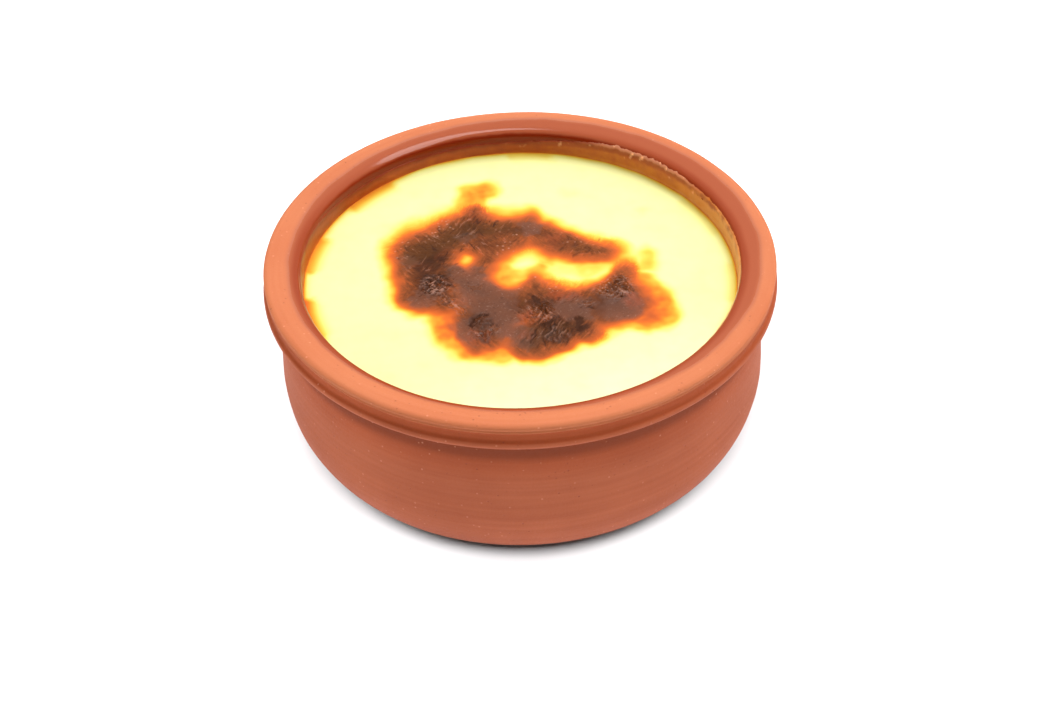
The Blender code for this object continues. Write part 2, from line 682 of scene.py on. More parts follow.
@dataclass(frozen=True)
class PuddingFinish:
    """Set milk pudding that runs from cream through gold to scorched brown by the toast field."""

    stops: tuple[Stop, ...] = linear_stops(
        SKIN_LIGHT,
        (0.00, 262, 262, 192),
        (0.07, 261, 260, 184),
        (0.14, 259, 257, 164),
        (0.22, 257, 245, 134),
        (0.31, 256, 219, 82),
        (0.38, 254, 182, 46),
        (0.43, 250, 143, 24),
        (0.47, 238, 112, 26),
        (0.52, 212, 96, 30),
        (0.58, 178, 84, 30),
        (0.66, 150, 74, 26),
        (0.78, 120, 58, 14),
        (1.00, 92, 42, 6),
    )
    # Painted light: whiter cream on the front and right of the pudding
    painted_light_front: Colour = linear(262, 262, 226, SKIN_LIGHT)
    # Brown of the smooth scorched plateaus, lifted with painted sheen
    cocoa_and_sheen: Colour = linear(122, 70, 44, SKIN_LIGHT)
    russet: Colour = linear(166, 74, 32, SKIN_LIGHT)
    umber: Colour = linear(98, 55, 8, SKIN_LIGHT)
    char: Colour = linear(64, 28, 4, SKIN_LIGHT)
    # Pale crisp skin, and painted glints on the wet folds
    crisp_and_glint: Colour = linear(204, 150, 128, SKIN_LIGHT)
    bead: Colour = linear(240, 172, 140, SKIN_LIGHT)
    strand_toast: float = 0.11
    fine_toast: float = 0.06
    drift_toast: float = 0.012
    specular: float = 0.26
    milk_roughness: float = 0.82
    char_roughness: float = 0.85
    plateau_roughness: float = 0.38
    wet_roughness: float = 0.14
    relief_depth: float = 0.16 * MM
    # Features to the metre
    cloud_scale: float = 130.0
    fine_scale: float = 1500.0
    turning_scale: float = 95.0
    # Direction of the strands in degrees, strands to the metre, and their stretch
    rising: tuple[float, float, float] = (62.0, 1150.0, 4.0)
    falling: tuple[float, float, float] = (124.0, 1050.0, 3.5)
    # Dots to the metre, and the reach of a dot
    bead_dots: Span = (800.0, 0.30)
    # Toast between which each effect fades in
    plateau_span: Span = (0.50, 0.60)
    scorch_span: Span = (0.54, 0.66)
    bead_span: Span = (0.46, 0.54)
    rough_span: Span = (0.44, 0.60)
    relief_span: Span = (0.46, 0.64)
    # How strongly each colour covers
    cocoa_share: float = 0.75
    umber_share: float = 0.6
    prick_share: float = 0.7
    fleck_and_glint_share: float = 0.50
    bead_share: float = 0.42

    def build(self) -> bpy.types.Material:
        """Make the baked skin.

        Returns:
            The material.
        """
        board = Board("baked_skin", self.specular)
        place = board.place()
        toast = board.read("toast")
        scorched = board.span(toast, *self.scorch_span)
        cloud = board.noise(place, self.cloud_scale, 3.0)
        fine = board.noise(place, self.fine_scale, 4.0, 0.8)
        turning = board.span(board.noise(place, self.turning_scale, 1.0), 0.44, 0.56)
        rising = board.strands(place, *self.rising)
        falling = board.strands(place, *self.falling)
        leaning = board.sum("MULTIPLY", board.sum("SUBTRACT", falling, rising), turning)
        strand = board.sum("ADD", rising, leaning)
        grain, wet = board.read("grain"), board.read("wet")
        smooth = board.product(board.read("cocoa_and_sheen"), board.span(toast, *self.plateau_span))
        coarse = board.product(scorched, board.span(smooth, 0.0, 1.0, 1.0, 0.35))
        ruffle = board.span(strand, 0.32, 0.68, self.strand_toast, -0.7 * self.strand_toast)
        ruffle = board.sum("ADD", ruffle, board.span(fine, 0.3, 0.7, -self.fine_toast, self.fine_toast))
        drift = board.span(cloud, 0.3, 0.7, -self.drift_toast, self.drift_toast)
        level = board.sum("ADD", toast, board.sum("ADD", board.product(ruffle, coarse), drift))
        # Painted light: the cream whiter on the front and right
        painted_light_front = board.product(board.read("painted_light_front"), board.span(level, 0.0, 0.16, 1.0, 0.0))
        colour = board.blend(painted_light_front, board.ramp(level, self.stops), self.painted_light_front)
        # Smooth plateaus: their own brown with painted sheen
        colour = board.blend(board.product(smooth, self.cocoa_share), colour, self.cocoa_and_sheen)
        russet = board.product(board.read("russet"), scorched, board.span(strand, 0.36, 0.56, 0.35, 1.0))
        colour = board.blend(russet, colour, self.russet)
        olive = board.product(grain, scorched, board.span(cloud, 0.56, 0.44), self.umber_share)
        colour = board.blend(olive, colour, self.umber)
        hollow = board.product(board.read("hollow"), board.span(strand, 0.62, 0.44, 0.45, 1.0))
        pricks = board.product(grain, board.span(strand, 0.40, 0.33), self.prick_share)
        pricks = board.sum("MAXIMUM", pricks, board.product(smooth, board.span(fine, 0.42, 0.34), 0.55))
        # Char in the dark spots and fold valleys, with painted shade in the valleys
        char_and_crease_shade = board.product(board.sum("MAXIMUM", board.read("crease_char_and_shade"), hollow), scorched)
        dark = board.sum("MAXIMUM", char_and_crease_shade, pricks)
        colour = board.blend(dark, colour, self.char)
        # Pale flecks: crisp skin in the grainy zones, painted glints in the wet zones and on wet ridge tops
        fleck_and_glint_cover = board.sum("MAXIMUM", board.product(grain, 0.5), wet)
        flecks = board.product(fleck_and_glint_cover, board.span(strand, 0.60, 0.70), scorched, self.fleck_and_glint_share)
        flecks = board.sum("MAXIMUM", flecks, board.product(smooth, board.span(fine, 0.60, 0.70), 0.35))
        crisp_and_glint = board.sum("MAXIMUM", flecks, board.product(board.read("crisp_and_glint"), scorched))
        colour = board.blend(crisp_and_glint, colour, self.crisp_and_glint)
        near = board.span(toast, *self.bead_span)
        beads = board.product(board.read("beads"), board.dots(place, *self.bead_dots), near, self.bead_share)
        colour = board.blend(beads, colour, self.bead)
        rough = board.span(toast, *self.rough_span, self.milk_roughness, self.char_roughness)
        for share, goal in ((smooth, self.plateau_roughness), (wet, self.wet_roughness)):
            rough = board.sum("SUBTRACT", rough, board.product(board.sum("SUBTRACT", rough, goal), share))
        fibres = board.product(strand, 1.2)
        crumbs = board.product(fine, board.span(wet, 0.0, 1.0, 0.7, 2.2))
        height = board.sum("ADD", fibres, crumbs)
        crusty = board.span(toast, *self.relief_span, 0.03, 1.0)
        height = board.product(height, crusty, board.span(smooth, 0.0, 1.0, 1.0, 0.25))
        return board.finish(colour, rough, height, self.relief_depth)


@dataclass(frozen=True)
class FilmFinish:
    """Dried milk on the wall: red-brown where it is thin, golden where it is thick."""

    deep: Colour = linear(118, 36, 10, WALL_LIGHT)
    thin: Colour = linear(152, 66, 22, WALL_LIGHT)
    amber: Colour = linear(176, 98, 30, WALL_LIGHT)
    tan: Colour = linear(184, 118, 64, WALL_LIGHT)
    dark: Colour = linear(140, 60, 28, WALL_LIGHT)
    # Painted highlight and painted reflection along the film's ragged upper edge
    light: Colour = linear(232, 168, 124, WALL_LIGHT)
    specular: float = 0.35
    roughness: float = 0.36
    relief_depth: float = 0.12 * MM
    mottle_scale: float = 300.0

    def build(self) -> bpy.types.Material:
        """Make the dried milk.

        Returns:
            The material.
        """
        board = Board("dried_milk", self.specular)
        place = board.place()
        mottle = board.noise(place, self.mottle_scale, 4.0)
        crust = board.read("crust")
        uneven = board.span(mottle, 0.35, 0.65, -0.08, 0.08)
        share = board.sum("ADD", crust, uneven, clamp=True)
        colour = board.ramp(share, ((0.0, self.deep), (0.38, self.thin), (0.7, self.amber), (1.0, self.tan)))
        blotch = board.product(board.read("blotch"), board.span(mottle, 0.40, 0.55))
        colour = board.blend(blotch, colour, self.dark)
        # Painted highlight along the upper edge, and painted reflection flecks at the torn stretch
        colour = board.blend(board.read("lip"), colour, self.light)
        rough = board.span(mottle, 0.3, 0.7, self.roughness - 0.08, self.roughness + 0.14)
        return board.finish(colour, rough, mottle, self.relief_depth)


@dataclass(frozen=True)
class FloorFinish:
    """A plain pale studio floor."""

    colour: Colour = (0.60, 0.60, 0.61)
    specular: float = 0.2
    roughness: float = 0.9

    def build(self) -> bpy.types.Material:
        """Make the floor's finish.

        Returns:
            The material.
        """
        board = Board("studio_floor", self.specular)
        board.feed(self.colour, board.shader.inputs["Base Color"])
        board.feed(self.roughness, board.shader.inputs["Roughness"])
        return board.material


# ---------------------------------------------------------------- scorched skin


class StrokeKind(Enum):
    """What a stroke does to the skin."""

    SCORCH = "scorch"
    PALE = "pale"
    GOLD = "gold"
    FURROW = "furrow"


@dataclass(frozen=True)
class Stroke:
    """A round-ended patch of the skin, in millimetres from the middle of the pudding."""

    kind: StrokeKind
    start: Point
    end: Point
    start_radius: float
    end_radius: float
    heat: float = 1.0

    def depth(self, x: Array, y: Array) -> Array:
        """Return how far each point lies inside the stroke's edge; it is negative outside.

        Args:
            x: Millimetres to the right of the middle.
            y: Millimetres behind the middle.

        Returns:
            The depth, in millimetres.
        """
        run = (self.end[0] - self.start[0], self.end[1] - self.start[1])
        length_squared = max(run[0] ** 2 + run[1] ** 2, 1e-9)
        share = ((x - self.start[0]) * run[0] + (y - self.start[1]) * run[1]) / length_squared
        share = np.clip(share, 0.0, 1.0)
        away = np.hypot(x - self.start[0] - share * run[0], y - self.start[1] - share * run[1])
        return self.start_radius + (self.end_radius - self.start_radius) * share - away


@dataclass(frozen=True)
class Patch:
    """A round area with its own surface, in millimetres from the middle of the pudding."""

    centre: Point
    radius: float
    strength: float = 1.0

    def share(self, x: Array, y: Array) -> Array:
        """Return the patch's strength, which fades out over its outer half."""
        away = np.hypot(x - self.centre[0], y - self.centre[1]) / self.radius
        return self.strength * smoothstep(1.0, 0.5, away)


@dataclass(frozen=True)
class Wrinkles:
    """A patch of folds or fibres that run along one direction, in millimetres."""

    patch: Patch
    direction_deg: float
    spacing: float
    height: float
    seed: int
    stretch: float = 2.8

    def pattern(self, x: Array, y: Array) -> Array:
        """Return the folds' own shape, from about -1 in a valley to 1 on a ridge.

        Args:
            x: Millimetres to the right of the middle.
            y: Millimetres behind the middle.

        Returns:
            The shape, not faded by the patch.
        """
        turn = math.radians(self.direction_deg)
        moved_x, moved_y = shaken(x, y, (self.seed + 50, self.seed + 60), 1.1, 4.0, 2)
        along = (moved_x * math.cos(turn) + moved_y * math.sin(turn)) / (self.spacing * self.stretch)
        across = (moved_y * math.cos(turn) - moved_x * math.sin(turn)) / self.spacing
        coarse = 1.0 - 2.6 * np.abs(Grain(self.seed).at(along, across))
        finer = 1.0 - 2.6 * np.abs(Grain(self.seed + 5).at(along * 1.9, across * 2.1))
        return 0.62 * coarse + 0.38 * finer

    def rise(self, x: Array, y: Array) -> Array:
        """Return the height of the folds, in millimetres."""
        return self.height * self.pattern(x, y) * self.patch.share(x, y)


def scorch(x0: float, y0: float, x1: float, y1: float, r0: float, r1: float) -> Stroke:
    """Return a scorched stroke."""
    return Stroke(StrokeKind.SCORCH, (x0, y0), (x1, y1), r0, r1)


def pale(x0: float, y0: float, x1: float, y1: float, r0: float, r1: float) -> Stroke:
    """Return a stroke that stayed pale inside the scorching."""
    return Stroke(StrokeKind.PALE, (x0, y0), (x1, y1), r0, r1)


def gold(x0: float, y0: float, x1: float, y1: float, r0: float, r1: float, heat: float) -> Stroke:
    """Return a golden stroke; its heat runs from 0 for cream to 1 for red-brown."""
    return Stroke(StrokeKind.GOLD, (x0, y0), (x1, y1), r0, r1, heat)


def furrow(x0: float, y0: float, x1: float, y1: float, r0: float, r1: float) -> Stroke:
    """Return a dark furrow in the scorching."""
    return Stroke(StrokeKind.FURROW, (x0, y0), (x1, y1), r0, r1)


@dataclass(frozen=True)
class Skin:
    """The baked skin: where it is scorched, golden or pale, and how it wrinkled."""

    edge_radius: float = 50.9
    strokes: tuple[Stroke, ...] = (
        scorch(-22.5, 10.5, -22.3, -0.5, 7.6, 6.4),
        scorch(-22.4, -4.4, -17.4, -6.4, 6.0, 4.8),
        scorch(-20.0, 13.0, -11.5, 20.4, 7.0, 5.8),
        scorch(-11.0, 24.0, -10.2, 27.6, 3.4, 1.4),
        scorch(-11.0, 19.0, 1.5, 18.6, 5.2, 4.7),
        scorch(1.0, 20.5, 2.6, 22.0, 3.0, 2.4),
        scorch(4.7, 17.6, 10.2, 13.2, 4.2, 4.1),
        scorch(10.2, 13.2, 14.8, 11.0, 4.1, 3.5),
        scorch(14.8, 11.0, 19.9, 9.8, 3.5, 2.8),
        scorch(-8.6, 14.3, -9.6, 3.0, 5.3, 3.0),
        scorch(-6.3, 12.9, -1.0, 15.2, 4.2, 3.1),
        scorch(-16.5, 2.0, -8.5, -5.0, 5.0, 4.8),
        scorch(-8.0, -9.4, 5.5, -9.4, 6.0, 7.0),
        scorch(-16.5, -8.0, -13.5, -9.4, 2.8, 2.3),
        scorch(3.4, -3.0, 3.5, 0.6, 3.2, 0.8),
        scorch(8.0, -11.2, 16.0, -11.0, 6.7, 6.7),
        scorch(16.0, -11.0, 22.0, -9.0, 6.7, 7.3),
        scorch(22.6, -4.5, 24.9, 3.2, 4.6, 1.2),
        scorch(24.0, -6.0, 24.6, -9.0, 4.5, 4.7),
        scorch(20.0, -11.5, 24.8, -10.2, 5.3, 4.7),
        scorch(11.0, -17.0, 14.2, -18.6, 6.0, 4.3),
        scorch(2.6, -22.0, 5.6, -20.2, 6.7, 7.1),
        scorch(-8.0, -14.0, -8.4, -18.4, 8.1, 6.7),
        scorch(-9.5, -22.0, -10.6, -24.8, 3.0, 1.4),
        pale(-12.7, 7.8, -12.4, 8.7, 2.0, 1.9),
        gold(-11.5, 28.5, -11.4, 33.0, 2.9, 2.4, 0.95),
        gold(-11.4, 34.8, -7.6, 36.0, 2.6, 2.4, 1.0),
        gold(27.5, -1.5, 29.6, -8.5, 3.1, 4.9, 1.05),
        gold(29.8, -9.0, 30.6, -13.8, 5.0, 4.7, 1.05),
        gold(23.5, -16.6, 28.5, -15.6, 1.8, 3.6, 1.02),
        gold(28.8, 3.8, 29.9, 4.6, 0.9, 1.1, 0.86),
        gold(30.2, 5.0, 30.0, 8.8, 0.9, 1.5, 0.84),
        gold(-17.0, -12.0, -15.4, -17.5, 4.0, 4.8, 1.05),
        gold(-15.4, -17.5, -12.0, -22.6, 4.8, 4.5, 1.05),
        gold(-12.0, -22.6, -4.5, -26.6, 4.5, 2.5, 0.98),
        gold(-12.8, 7.9, -12.3, 8.7, 1.7, 1.7, 0.80),
        gold(-4.2, 0.6, -4.4, 6.4, 2.8, 1.8, 0.94),
        gold(-1.6, 1.2, -0.6, 1.6, 1.6, 1.6, 0.90),
        gold(3.6, 2.0, 5.0, 4.8, 2.0, 0.6, 0.96),
        gold(5.8, 6.6, 7.2, 6.6, 0.3, 0.6, 0.86),
        gold(13.6, 4.6, 14.0, 4.8, 0.7, 0.7, 0.80),
        gold(7.5, 4.4, 15.5, 3.6, 2.4, 2.4, 0.62),
        gold(15.5, 3.6, 19.0, 4.8, 2.4, 1.6, 0.74),
        gold(29.5, 25.5, 29.6, 25.6, 0.8, 0.8, 0.36),
        gold(11.5, 34.0, 13.5, 34.0, 1.0, 1.0, 0.30),
        furrow(8.6, -14.0, 7.0, -24.5, 0.45, 0.2),
        furrow(13.2, -14.5, 12.6, -19.5, 0.45, 0.25),
        furrow(3.4, -6.5, 4.8, -12.5, 0.45, 0.25),
        furrow(-7.6, -12.8, -10.8, -14.2, 0.3, 0.45),
        furrow(-10.8, -14.2, -11.0, -18.4, 0.45, 0.2),
        furrow(-20.5, 1.2, -17.5, 1.4, 0.3, 0.3),
    )
    wall_stains: tuple[Patch, ...] = (
        Patch((-37.0, 35.0), 12.0, 0.9),
        Patch((-48.5, 11.0), 11.0, 0.9),
        Patch((-48.5, -13.0), 12.0, 1.05),
        Patch((3.0, 50.0), 10.0, 0.7),
        Patch((44.0, 23.0), 12.0, 0.55),
        Patch((50.5, -3.0), 11.0, 0.6),
    )
    # Smooth plateaus, whose lighter brown is partly painted sheen
    cocoa_and_sheen: tuple[Patch, ...] = (
        Patch((-13.0, 3.0), 5.5, 0.9),
        Patch((-13.0, 17.0), 2.6, 0.7),
        Patch((3.0, 20.0), 3.8, 0.8),
        Patch((-8.0, -5.0), 9.0, 0.85),
        Patch((-5.5, -15.0), 8.0, 0.9),
        Patch((-13.0, -19.0), 6.0, 0.7),
        Patch((0.5, -21.0), 5.0, 0.6),
        Patch((12.0, -11.5), 6.5, 0.8),
        Patch((23.5, -11.0), 7.0, 0.75),
        Patch((-23.0, -6.5), 4.0, 0.6),
        Patch((-26.5, 8.0), 3.5, 0.4),
    )
    russet: tuple[Patch, ...] = (
        Patch((2.0, -15.0), 3.2, 0.65),
        Patch((1.0, -20.5), 2.8, 0.7),
        Patch((-10.0, -22.0), 4.5, 0.5),
        Patch((27.0, -9.0), 4.0, 0.7),
        Patch((10.0, -4.6), 5.0, 0.8),
        Patch((10.0, 14.5), 5.0, 0.5),
        Patch((-9.0, 26.5), 4.5, 0.5),
    )
    hollows: tuple[Patch, ...] = (
        Patch((-20.0, 4.5), 6.0, 0.55),
        Patch((-19.8, -1.6), 5.0, 0.75),
        Patch((-9.6, -15.0), 3.8, 0.65),
        Patch((-8.6, -20.4), 3.0, 0.6),
        Patch((4.4, -9.0), 4.2, 0.5),
        Patch((6.0, -15.6), 4.2, 0.85),
        Patch((12.6, -16.5), 4.0, 0.45),
        Patch((9.0, -21.0), 5.0, 0.6),
        Patch((15.0, -19.0), 3.4, 0.5),
        Patch((22.5, -3.4), 4.6, 0.55),
        Patch((-18.0, 9.0), 5.0, 0.3),
        Patch((-11.0, 21.0), 5.0, 0.3),
    )
    beads: tuple[Patch, ...] = (
        Patch((-0.5, -1.2), 3.4, 1.0),
        Patch((3.6, 1.4), 2.6, 1.0),
        Patch((8.0, -3.6), 3.0, 0.9),
        Patch((-3.8, 12.0), 3.0, 0.8),
        Patch((-0.8, 18.0), 1.6, 1.0),
        Patch((4.8, 20.8), 2.0, 1.0),
        Patch((-20.0, 20.5), 6.0, 0.7),
        Patch((-28.0, 12.0), 5.0, 0.7),
        Patch((14.0, 16.0), 6.0, 0.6),
        Patch((20.0, -3.0), 4.0, 0.7),
    )
    wet: tuple[Patch, ...] = (
        Patch((-20.0, -1.6), 4.6, 1.0),
        Patch((-17.2, -7.2), 2.4, 0.9),
        Patch((-14.2, -10.6), 2.2, 1.0),
        Patch((22.0, -4.0), 6.0, 1.0),
        Patch((15.5, -10.0), 2.4, 0.8),
        Patch((-9.0, -14.6), 1.8, 0.9),
        Patch((-8.8, -20.0), 2.2, 1.0),
        Patch((-6.0, -18.2), 1.8, 0.8),
        Patch((4.6, -11.6), 4.2, 1.0),
        Patch((-10.0, -2.6), 2.2, 0.6),
        Patch((8.0, -20.5), 3.4, 0.5),
    )
    grain: tuple[Patch, ...] = (
        Patch((-21.5, 9.5), 10.0, 1.0),
        Patch((-12.0, 17.5), 10.0, 1.0),
        Patch((-5.0, 19.0), 7.0, 0.8),
        Patch((15.0, 12.5), 7.0, 0.6),
        Patch((12.5, -17.5), 5.5, 0.8),
        Patch((4.0, -9.0), 5.0, 0.8),
        Patch((5.0, -20.0), 7.5, 0.8),
    )
    folds: tuple[Wrinkles, ...] = (
        Wrinkles(Patch((-20.2, -1.8), 6.5), 35.0, 1.25, 0.46, 11, 1.7),
        Wrinkles(Patch((-18.5, -7.0), 6.0), 24.0, 1.2, 0.32, 12, 3.2),
        Wrinkles(Patch((-9.0, -17.5), 5.0), 68.0, 1.5, 0.34, 13, 2.0),
        Wrinkles(Patch((3.4, -13.0), 6.0), 128.0, 1.2, 0.36, 14),
        Wrinkles(Patch((7.5, -20.0), 7.5), 76.0, 1.7, 0.44, 15, 3.4),
        Wrinkles(Patch((22.0, -3.5), 7.2), 58.0, 1.05, 0.38, 16, 1.7),
        Wrinkles(Patch((-19.0, 11.5), 13.0), 62.0, 0.9, 0.13, 17),
        Wrinkles(Patch((-9.5, 24.0), 7.5), 66.0, 0.9, 0.20, 18, 3.4),
        Wrinkles(Patch((11.0, -5.0), 6.5), 84.0, 0.9, 0.20, 19, 2.6),
        Wrinkles(Patch((14.0, 12.5), 8.0), 40.0, 1.0, 0.14, 20),
        Wrinkles(Patch((15.5, -9.8), 3.2), 20.0, 1.0, 0.24, 24, 1.6),
    )
    hairs: tuple[Wrinkles, ...] = (
        Wrinkles(Patch((-11.5, 27.5), 6.0), 68.0, 0.55, 1.0, 71, 4.5),
        Wrinkles(Patch((-21.0, 22.0), 8.0), 60.0, 0.60, 0.7, 72, 4.0),
        Wrinkles(Patch((-29.0, 14.0), 6.0), 40.0, 0.60, 0.6, 73, 4.0),
        Wrinkles(Patch((10.0, -3.6), 7.5), 86.0, 0.60, 1.0, 74, 4.0),
        Wrinkles(Patch((25.0, 3.0), 5.0), 70.0, 0.60, 0.8, 75, 3.0),
        Wrinkles(Patch((1.5, 14.0), 5.0), 88.0, 0.60, 0.7, 76, 4.0),
        Wrinkles(Patch((20.0, 14.0), 6.0), 60.0, 0.60, 0.6, 77, 3.5),
        Wrinkles(Patch((17.0, -20.0), 5.0), 60.0, 0.60, 0.5, 78, 3.0),
    )
    slow_falls: tuple[Patch, ...] = (
        Patch((-24.0, 23.0), 17.0, 0.48),
        Patch((5.0, 4.5), 17.0, 0.28),
        Patch((-1.0, 25.5), 9.0, 0.40),
        Patch((24.5, 10.0), 7.0, 0.40),
    )
    seam_blend: float = 0.6
    edge_toast: float = 0.52
    outward_fall: float = 0.108
    inward_rise: float = 0.062
    gold_toast: float = 0.36
    gold_fade: Span = (-3.9, 0.4)
    gold_start: float = 0.6
    gold_rise: float = 0.022
    line_toast: float = 0.42
    stain_toast: float = 0.38
    meniscus_rise: float = 0.40
    meniscus_width: float = 1.8
    furrow_depth: float = 0.30

    def union(self, kind: StrokeKind, x: Array, y: Array, blend: float) -> Array:
        """Return the depth inside all strokes of one kind.

        Args:
            kind: Which strokes.
            x: Millimetres to the right of the middle.
            y: Millimetres behind the middle.
            blend: Rounding of the seams, in millimetres.

        Returns:
            The depth, in millimetres.
        """
        return smooth_most([s.depth(x, y) for s in self.strokes if s.kind is kind], blend)

    def depth(self, x: Array, y: Array) -> Array:
        """Return the depth inside the scorching, with a ragged outline.

        Args:
            x: Millimetres to the right of the middle.
            y: Millimetres behind the middle.

        Returns:
            Positive depth inside the scorching, negative distance outside, in millimetres.
        """
        moved = shaken(x, y, (3, 4), 0.7, 5.0, 2)
        burnt = self.union(StrokeKind.SCORCH, *moved, self.seam_blend)
        spared = self.union(StrokeKind.PALE, *moved, 0.4)
        return -smooth_most([-burnt, spared], 0.5) + 0.6 * sum(h.rise(x, y) for h in self.hairs)

    def golden(self, x: Array, y: Array) -> Array:
        """Return the toast that the golden strokes give, with soft uneven edges.

        Args:
            x: Millimetres to the right of the middle.
            y: Millimetres behind the middle.

        Returns:
            The toast, from 0 to about 0.5.
        """
        moved = shaken(x, y, (8, 9), 0.8, 6.0, 2)
        shares = []
        for stroke in self.strokes:
            if stroke.kind is StrokeKind.GOLD:
                depth = stroke.depth(*moved)
                faded = self.gold_toast * smoothstep(*self.gold_fade, depth)
                deeper = self.gold_rise * np.maximum(depth + self.gold_start, 0.0)
                shares.append(stroke.heat * (faded + deeper))
        return smooth_most(shares, 0.03) * (1.0 + 0.10 * Grain(13).layers(x / 3.4, y / 3.4, 2))

    def edging(self, x: Array, y: Array) -> Array:
        """Return the toast of the golden line along the wall, wider at the stains.

        Args:
            x: Millimetres to the right of the middle.
            y: Millimetres behind the middle.

        Returns:
            The toast, from 0 to about 0.5.
        """
        moved = shaken(x, y, (18, 19), 1.6, 5.0, 3)
        stain = np.clip(sum(p.share(*moved) for p in self.wall_stains), 0.0, 1.0)
        inward = self.edge_radius - np.hypot(x, y)
        line = self.line_toast * np.exp(-inward / (0.80 + 0.30 * Grain(17).at(x / 7.0, y / 7.0)))
        wide = self.stain_toast * stain**1.5 * smoothstep(7.0, 0.0, inward)
        return smooth_most([line, wide], 0.03) + 0.10 * smoothstep(4.0, 0.0, inward)

    def toast(self, x: Array, y: Array) -> Array:
        """Return how dark the skin is, from 0 for cream to 1 for scorched.

        Args:
            x: Millimetres to the right of the middle.
            y: Millimetres behind the middle.

        Returns:
            The toast.
        """
        depth = self.depth(x, y)
        slowed = 1.0 - sum(p.share(x, y) for p in self.slow_falls) + 0.35 * smoothstep(-18.0, -30.0, y)
        outward = self.outward_fall * slowed * (1.0 + 0.20 * Grain(7).layers(x / 8.0, y / 8.0, 2))
        inward = self.inward_rise * (1.0 + 0.30 * Grain(12).at(x / 6.0, y / 6.0))
        burnt = self.edge_toast + depth * np.where(depth < 0.0, outward, inward)
        glow = 0.10 * np.exp(np.minimum(depth, 0.0) / 4.5) + 0.02 * Grain(6).layers(x / 9.0, y / 9.0, 3)
        whole = smooth_most([burnt, self.golden(x, y), self.edging(x, y), glow], 0.025)
        return np.clip(whole, 0.0, 1.0)

    def folded(self, x: Array, y: Array) -> Array:
        """Return the height of all the folds and furrows.

        Args:
            x: Millimetres to the right of the middle.
            y: Millimetres behind the middle.

        Returns:
            The height, in millimetres; it is negative in a furrow.
        """
        bent = shaken(x, y, (91, 92), 0.9, 2.6, 3)
        cut = smoothstep(-0.6, 0.5, self.union(StrokeKind.FURROW, *bent, 0.2))
        return sum(f.rise(x, y) for f in self.folds) - self.furrow_depth * cut

    def rise(self, x: Array, y: Array) -> Array:
        """Return the height of the skin over the level of the pudding.

        Args:
            x: Millimetres to the right of the middle.
            y: Millimetres behind the middle.

        Returns:
            The height, in millimetres.
        """
        inside = smoothstep(-1.0, 1.8, self.depth(x, y))
        swell = 0.18 + 0.20 * Grain(21).layers(x / 9.0, y / 9.0, 2)
        rough = 0.05 * Grain(22).layers(x / 0.9, y / 0.9, 2) * (0.3 + self.cover(self.grain, x, y))
        gentle = 0.05 * Grain(23).at(x / 14.0, y / 14.0)
        near_wall = smoothstep(self.edge_radius - self.meniscus_width, self.edge_radius, np.hypot(x, y))
        meniscus = self.meniscus_rise * near_wall**2
        return gentle + meniscus + inside * (swell + self.folded(x, y) + rough)

    def cover(self, patches: Sequence[Patch], x: Array, y: Array) -> Array:
        """Return how far a set of patches covers each point, with ragged edges.

        Args:
            patches: The patches.
            x: Millimetres to the right of the middle.
            y: Millimetres behind the middle.

        Returns:
            The cover, from 0 to 1.
        """
        moved = shaken(x, y, (61, 64), 1.3, 2.6, 3)
        return np.clip(sum(p.share(*moved) for p in patches), 0.0, 1.0)

    def fields(self, x: Array, y: Array) -> dict[str, Array]:
        """Return every field that the finish reads.

        Args:
            x: Millimetres to the right of the middle.
            y: Millimetres behind the middle.

        Returns:
            The fields by name.
        """
        folded = self.folded(x, y)
        wet = self.cover(self.wet, x, y) * smoothstep(0.0, 1.0, self.depth(x, y))
        return {
            "toast": self.toast(x, y),
            # Smooth plateaus with painted sheen, away from the fold valleys
            "cocoa_and_sheen": self.cover(self.cocoa_and_sheen, x, y) * smoothstep(-0.12, 0.0, folded),
            "russet": self.cover(self.russet, x, y),
            "wet": wet,
            "grain": self.cover(self.grain, x, y),
            # Fold valleys darkened: char with painted shade
            "crease_char_and_shade": 0.85 * smoothstep(0.04, -0.18, folded),
            # Painted glints on the ridge tops of wet folds, with pale crisp skin
            "crisp_and_glint": 0.55 * smoothstep(0.25, 0.36, folded) * wet,
            "hollow": self.cover(self.hollows, x, y),
            "beads": self.cover(self.beads, x, y),
            # Painted light: whiter cream towards the front and right
            "painted_light_front": smoothstep(-22.0, -50.0, y - 0.35 * x),
        }


# ---------------------------------------------------------------- sub-assemblies


